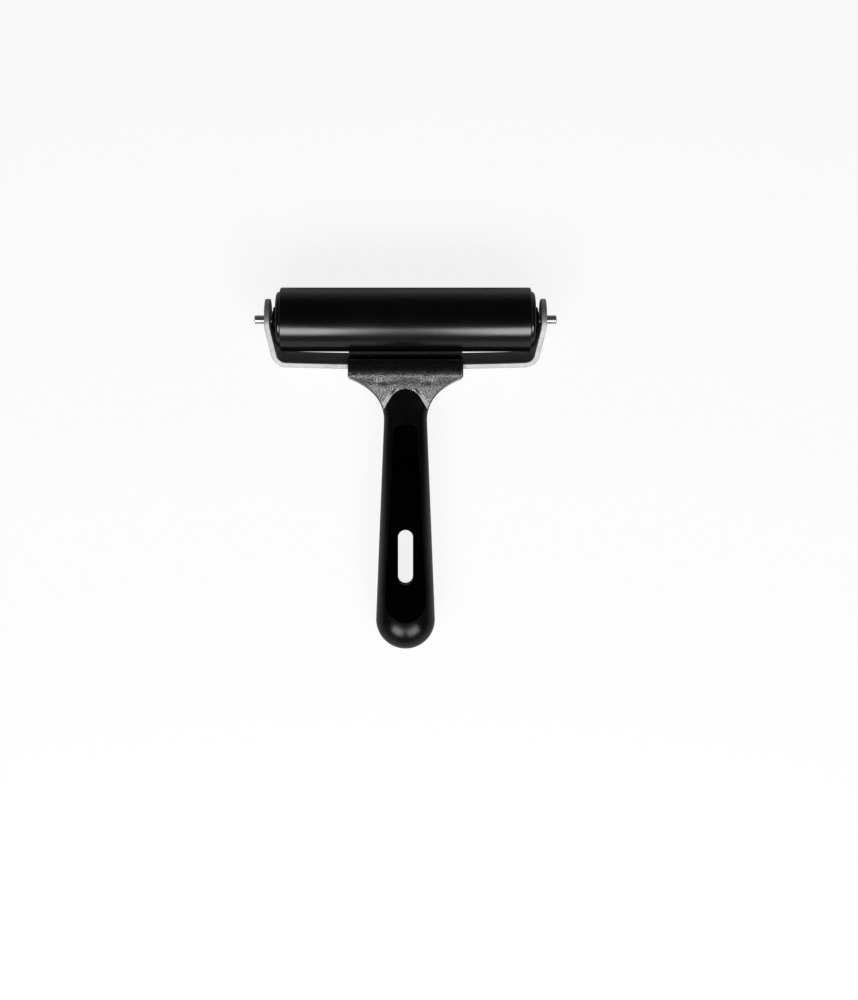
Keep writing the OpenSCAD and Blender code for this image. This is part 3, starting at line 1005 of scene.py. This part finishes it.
def cut_slot(grip):
    """Cuts the hanging slot right through the grip."""
    below, above = BENCH - 2, 8.0
    outline = np.concatenate(slot_ends(24, 24))
    count = len(outline)
    points = np.array([(x, -drop, z) for z in (below, above) for x, drop in outline])
    faces = grid_faces(2, count, wrap_columns=True)
    faces += [tuple(range(count)), tuple(range(2 * count - 1, count - 1, -1))]
    mesh = bpy.data.meshes.new("slot_cutter")
    mesh.from_pydata(((points + AXLE) * MM).tolist(), [], faces)
    shape = bmesh.new()
    shape.from_mesh(mesh)
    bmesh.ops.recalc_face_normals(shape, faces=shape.faces)
    shape.to_mesh(mesh)
    shape.free()
    cutter = bpy.data.objects.new("slot_cutter", mesh)
    bpy.context.scene.collection.objects.link(cutter)
    cut = grip.modifiers.new("slot", "BOOLEAN")
    cut.operation = "DIFFERENCE"
    cut.solver = "EXACT"
    cut.object = cutter
    bpy.context.view_layer.update()
    whole = bpy.data.meshes.new_from_object(grip.evaluated_get(bpy.context.evaluated_depsgraph_get()))
    grip.modifiers.clear()
    grip.data = whole
    smooth(whole, 35)
    bpy.data.objects.remove(cutter)


# --- Inlays ---

def inlay_outline():
    """The inlay's outline in two runs that match the slot's: over the top, and round the end."""
    side_steps, corner_steps, top_steps, end_steps = 26, 9, 12, 20
    corner, end, out = inlay_side()
    lean = math.atan2(out[1], out[0])
    turn = np.linspace(lean, -math.pi / 2, corner_steps)
    right_corner = corner + INLAY_CORNER_R * np.stack([np.cos(turn), np.sin(turn)], 1)
    high = right_corner[0]
    low = end + INLAY_END_R * out
    split_top = SLOT_DROP - (SLOT_HALF_LEN - SLOT_R)
    split_low = SLOT_DROP + (SLOT_HALF_LEN - SLOT_R)

    def side_points(start, finish, steps):
        shares = (np.linspace(start, finish, steps) - high[1]) / (low[1] - high[1])
        return lerp(high, low, shares[:, None])

    upper_side = side_points(split_top, high[1], side_steps)
    half_top = np.linspace(corner[0], 0, top_steps)
    top = np.stack([half_top, np.full(top_steps, INLAY_DROP)], 1)
    right = np.concatenate([upper_side, right_corner[1:], top[1:]])
    over = np.concatenate([(right * (-1, 1)), right[-2::-1]])
    lower_side = side_points(split_low, low[1], 10)
    swing = np.linspace(lean, math.pi / 2, end_steps)
    half_end = end + INLAY_END_R * np.stack([np.cos(swing), np.sin(swing)], 1)
    right_low = np.concatenate([lower_side, half_end[1:]])
    under = np.concatenate([right_low, (right_low * (-1, 1))[-2::-1]])
    return over, under


def joined_runs(over, under):
    """One closed ring from two end runs and the straight sides between them."""
    side_steps = 16
    shares = np.linspace(0, 1, side_steps + 1)[1:-1, None]
    right = lerp(over[-1], under[0], shares)
    left = lerp(under[-1], over[0], shares)
    return np.concatenate([over, right, under, left])


def make_inlay(name, node, side, material):
    """A panel between the inlay's outline and the slot, in front at side 1 and at the back at -1."""
    over, under = inlay_outline()
    outer = joined_runs(over, under)
    inner = joined_runs(*slot_ends(len(over), len(under)))
    gap = 0.06
    slot_gap = 0.02
    edge = 0.3
    sunk = 0.12
    blend = 0.4
    normal = outline_normals(outer)
    bore = outline_normals(inner)
    outer = outer - normal * gap
    inner = inner + bore * slot_gap
    turns = np.radians([0, 22, 45, 68, 90])
    rings = []
    depths = []
    for turn in turns:
        rings.append(inner + bore * edge * (1 - math.cos(turn)))
        depths.append(edge * (1 - math.sin(turn)))
    start, finish = inner + bore * edge, outer - normal * edge
    for share in np.linspace(0, 1, 26)[1:-1]:
        rings.append(lerp(start, finish, share))
        depths.append(0.0)
    for turn in turns[::-1]:
        rings.append(outer - normal * edge * (1 - math.cos(turn)))
        depths.append(edge * (1 - math.sin(turn)))
    rings.append(outer)
    depths.append(INLAY_T)
    rings.append(inner)
    depths.append(INLAY_T)
    points = []
    for ring, depth in zip(rings, depths):
        x, drop = ring[:, 0], ring[:, 1]
        flat = body_half_t(drop) - INLAY_DEPTH
        flush = grip_half_t(drop) * crown_share(x, drop) - sunk
        face = soft_min(flat, flush, blend)
        points.append(np.stack([x, -drop, HANDLE_Z + side * (face - depth)], 1))
    count = len(outer)
    faces = grid_faces(len(rings), count, True, True)
    new_piece(name, np.concatenate(points), faces, material, "frame", [node], "inlay_rubber", 50)


def outline_normals(outline):
    """Unit vectors out of a closed outline, at its points."""
    along = np.roll(outline, -1, 0) - np.roll(outline, 1, 0)
    out = np.stack([along[:, 1], -along[:, 0]], 1)
    out = out / np.linalg.norm(out, axis=1)[:, None]
    centre = outline.mean(0)
    facing = np.sign(np.sum(out * (outline - centre)))
    return out * facing


def make_inlays():
    material = inlay_rubber()
    make_inlay("inlay_front", "front_inlay", 1, material)
    make_inlay("inlay_back", "back_inlay", -1, material)


# --- Floor, light and camera ---

# What the object reflects.
FLOOR_GREY = 0.62
HORIZON = 0.28
ZENITH = 0.035
# What the camera sees behind it.
SEEN_FLOOR_GREY = 0.13
SEEN_FLOOR_GLOW = 0.885
SEEN_BACKDROP = 0.985
# Two softboxes, in watts, degrees and metres.
KEY_POWER = 3.9
KEY_TILT = 50
KEY_LATERAL = 27
KEY_SIZE = (0.48, 0.36)
KEY_DISTANCE = 0.9
# The camera's height above the axle.
CAMERA_HEIGHT = 650


def seen_or_reflected(nodes, links, seen, reflected, output):
    """Shows the camera one shader, and every bounced ray another."""
    path = nodes.new("ShaderNodeLightPath")
    mix = nodes.new("ShaderNodeMixShader")
    links.new(path.outputs["Is Camera Ray"], mix.inputs["Fac"])
    links.new(reflected, mix.inputs[1])
    links.new(seen, mix.inputs[2])
    links.new(mix.outputs["Shader"], output)


def make_floor():
    """A pale floor, overlit for the camera so that it takes only a faint shadow."""
    s = Surface("pale_floor", specular=0.1)
    s.colour(s.grain(400), grey(FLOOR_GREY), grey(FLOOR_GREY * 1.04))
    s.roughness(s.grain(150), 0.7, 0.9)
    s.shader.inputs["Emission Color"].default_value = (1, 1, 1, 1)
    s.shader.inputs["Emission Strength"].default_value = 0.07
    seen = s.nodes.new("ShaderNodeBsdfDiffuse")
    seen.inputs["Color"].default_value = (*grey(SEEN_FLOOR_GREY), 1)
    glow = s.nodes.new("ShaderNodeEmission")
    glow.inputs["Strength"].default_value = SEEN_FLOOR_GLOW
    both = s.nodes.new("ShaderNodeAddShader")
    s.links.new(seen.outputs["BSDF"], both.inputs[0])
    s.links.new(glow.outputs["Emission"], both.inputs[1])
    output = s.nodes["Material Output"].inputs["Surface"]
    seen_or_reflected(s.nodes, s.links, both.outputs["Shader"], s.shader.outputs["BSDF"], output)
    half = 6.0
    corners = [(-half, -half, 0), (half, -half, 0), (half, half, 0), (-half, half, 0)]
    mesh = bpy.data.meshes.new("floor")
    mesh.from_pydata(corners, [], [(0, 1, 2, 3)])
    mesh.materials.append(s.material)
    floor = bpy.data.objects.new("floor", mesh)
    bpy.context.scene.collection.objects.link(floor)


def make_world():
    """A pale backdrop for the camera. What the tool reflects is dimmer, and darkest overhead."""
    world = bpy.data.worlds.new("studio")
    bpy.context.scene.world = world
    world.use_nodes = True
    nodes = world.node_tree.nodes
    links = world.node_tree.links
    place = nodes.new("ShaderNodeTexCoord")
    split = nodes.new("ShaderNodeSeparateXYZ")
    ramp = nodes.new("ShaderNodeValToRGB")
    stops = [(0.0, HORIZON), (0.12, HORIZON * 0.7), (0.3, 0.06), (1.0, ZENITH)]
    while len(ramp.color_ramp.elements) < len(stops):
        ramp.color_ramp.elements.new(0.5)
    for element, (position, level) in zip(ramp.color_ramp.elements, stops):
        element.position = position
        element.color = (*grey(level), 1)
    links.new(place.outputs["Generated"], split.inputs["Vector"])
    links.new(split.outputs["Z"], ramp.inputs["Fac"])
    dim = nodes["Background"]
    links.new(ramp.outputs["Color"], dim.inputs["Color"])
    pale = nodes.new("ShaderNodeBackground")
    pale.inputs["Color"].default_value = (*grey(SEEN_BACKDROP), 1)
    output = nodes["World Output"].inputs["Surface"]
    seen_or_reflected(nodes, links, pale.outputs["Background"], dim.outputs["Background"], output)


def softbox(name, lateral):
    """An area light aimed at the axle, tilted from overhead towards the handle's side."""
    light = bpy.data.lights.new(name, "AREA")
    light.shape = "RECTANGLE"
    light.size, light.size_y = KEY_SIZE
    light.energy = KEY_POWER
    lamp = bpy.data.objects.new(name, light)
    bpy.context.scene.collection.objects.link(lamp)
    tilt = math.radians(KEY_TILT)
    lateral = math.radians(lateral)
    level = math.sin(tilt)
    away = Vector((level * math.sin(lateral), -level * math.cos(lateral), math.cos(tilt)))
    lamp.location = Vector(AXLE * MM) + away * KEY_DISTANCE
    lamp.rotation_mode = "QUATERNION"
    lamp.rotation_quaternion = away.to_track_quat("Z", "Y")


def make_lights():
    softbox("key_left", -KEY_LATERAL)
    softbox("key_right", KEY_LATERAL)


def make_camera():
    """Looks straight down, with the handle towards the bottom of the picture."""
    data = bpy.data.cameras.new("camera")
    camera = bpy.data.objects.new("camera", data)
    bpy.context.scene.collection.objects.link(camera)
    camera.location = (0, 0, (CAMERA_HEIGHT + AXLE[2]) * MM)
    data.sensor_width = 36
    data.lens = 58.35
    data.shift_x = 0.0235
    data.shift_y = -0.031
    data.clip_start = 0.01
    bpy.context.scene.camera = camera


make_camera()
make_roller()
make_axle()
make_yoke()
make_head()
make_grip()
make_inlays()
make_floor()
make_world()
make_lights()
bpy.context.scene.view_settings.view_transform = "Standard"
bpy.context.scene.view_settings.gamma = 0.88
